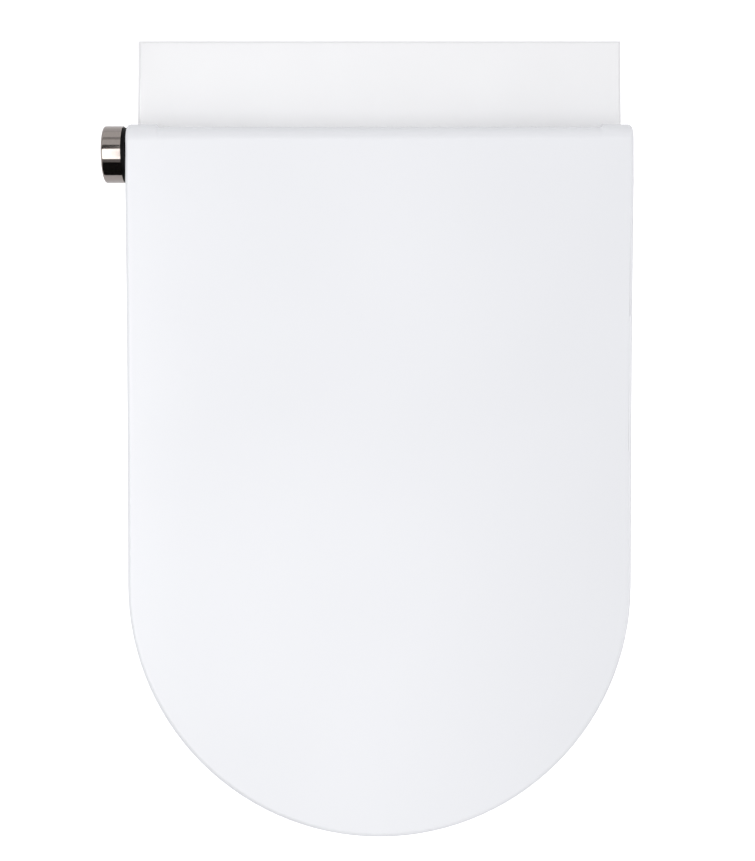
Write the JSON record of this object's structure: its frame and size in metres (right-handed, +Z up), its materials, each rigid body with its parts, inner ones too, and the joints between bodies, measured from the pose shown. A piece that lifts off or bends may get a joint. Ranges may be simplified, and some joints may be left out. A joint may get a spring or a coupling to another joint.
{
  "type": "bidet toilet",
  "caption": "Wall-hung shower toilet with D-shaped lid and seat, rear deck, side control knob and retracting spray wand.",
  "frame": {"origin": "midpoint between the two wall fixing holes, in the plane of the wall", "axes": "+Y into the wall, +Z up, +X to the right of someone facing the wall; the knob is on the -X side"},
  "size_m": [0.3945, 0.6, 0.3705],
  "materials": {
    "glazed_china": "gloss",
    "white_duroplast": "gloss",
    "white_moulding": "satin",
    "black_rubber": "matte",
    "grey_rubber": "matte",
    "grey_nylon": "matte",
    "stainless": "satin",
    "dark_acetal": "matte",
    "black_acetal": "satin",
    "zinc_case": "satin",
    "clear_tank": "gloss",
    "silicone_hose": "satin",
    "brass_fitting": "satin",
    "green_board": "matte",
    "dark_nickel": "polished",
    "wand_steel": "polished",
    "white_acetal": "satin"
  },
  "bodies": {
    "toilet": {"ceramic_bowl": "glazed_china", "trapway": "glazed_china", "flush_seal": "black_rubber", "fixing_sleeves": "grey_nylon", "unit_tray": "white_moulding", "unit_cover": "white_moulding", "cover_screws": "stainless", "hinge_tube": "stainless", "seat_damper": "dark_acetal", "lid_damper": "dark_acetal", "knob_collar": "black_acetal", "knob_switch": "black_acetal", "knob_spring": "stainless", "wand_guide": "grey_nylon", "wand_seal": "black_rubber", "guide_end_cap": "grey_nylon", "drive_motor": "zinc_case", "water_heater": "stainless", "water_pump": "dark_acetal", "solenoid_valve": "dark_acetal", "buffer_tank": "clear_tank", "buffer_link": "silicone_hose", "heater_feed": "silicone_hose", "water_inlet": "brass_fitting", "power_gland": "grey_nylon", "supply_hose": "silicone_hose", "pump_hose": "silicone_hose", "wand_hose": "silicone_hose", "power_supply": "dark_acetal", "control_board": "green_board", "board_parts": "black_acetal"},
    "seat": {"seat_ring": "white_duroplast", "seat_pads": "grey_rubber"},
    "lid": {"lid_shell": "white_duroplast", "lid_pads": "grey_rubber", "hinge_pin": "stainless"},
    "plunger": {"knob_spindle": "stainless", "knob_encoder": "black_acetal"},
    "knob": {"knob_sleeve": "dark_nickel", "knob_end_cap": "dark_nickel"},
    "wand": {"wand_tube": "wand_steel", "wand_nozzle": "white_moulding", "wand_rack": "white_acetal"},
    "pinion": {"drive_pinion": "white_acetal", "motor_shaft": "stainless"}
  },
  "joints": [
    {"name": "seat_tilt", "type": "hinge", "parent": "toilet", "child": "seat", "pos_m": [0, -0.092, 0.1043], "axis": [1, 0, 0], "range_deg": [-90, 0]},
    {"name": "lid_tilt", "type": "hinge", "parent": "seat", "child": "lid", "pos_m": [0, -0.092, 0.1043], "axis": [-1, 0, 0], "range_deg": [0, 90]},
    {"name": "knob_press", "type": "slide", "parent": "toilet", "child": "plunger", "axis": [1, 0, 0], "range_m": [0, 0.002], "stiffness_N_per_m": 900, "springref_m": -0.003, "deforming": ["knob_spring"]},
    {"name": "knob_turn", "type": "hinge", "parent": "plunger", "child": "knob", "pos_m": [-0.2, -0.092, 0.1043], "axis": [1, 0, 0], "continuous": true},
    {"name": "wand_slide", "type": "slide", "parent": "toilet", "child": "wand", "axis": [0, -0.866, -0.5], "range_m": [0, 0.06]},
    {"name": "pinion_spin", "type": "hinge", "parent": "toilet", "child": "pinion", "pos_m": [0, -0.14198, 0.01555], "axis": [1, 0, 0], "range_deg": [-5, 435]}
  ],
  "couplings": [
    {"joint": "pinion_spin", "follows": "wand_slide", "rad_per_m": 125}
  ]
}
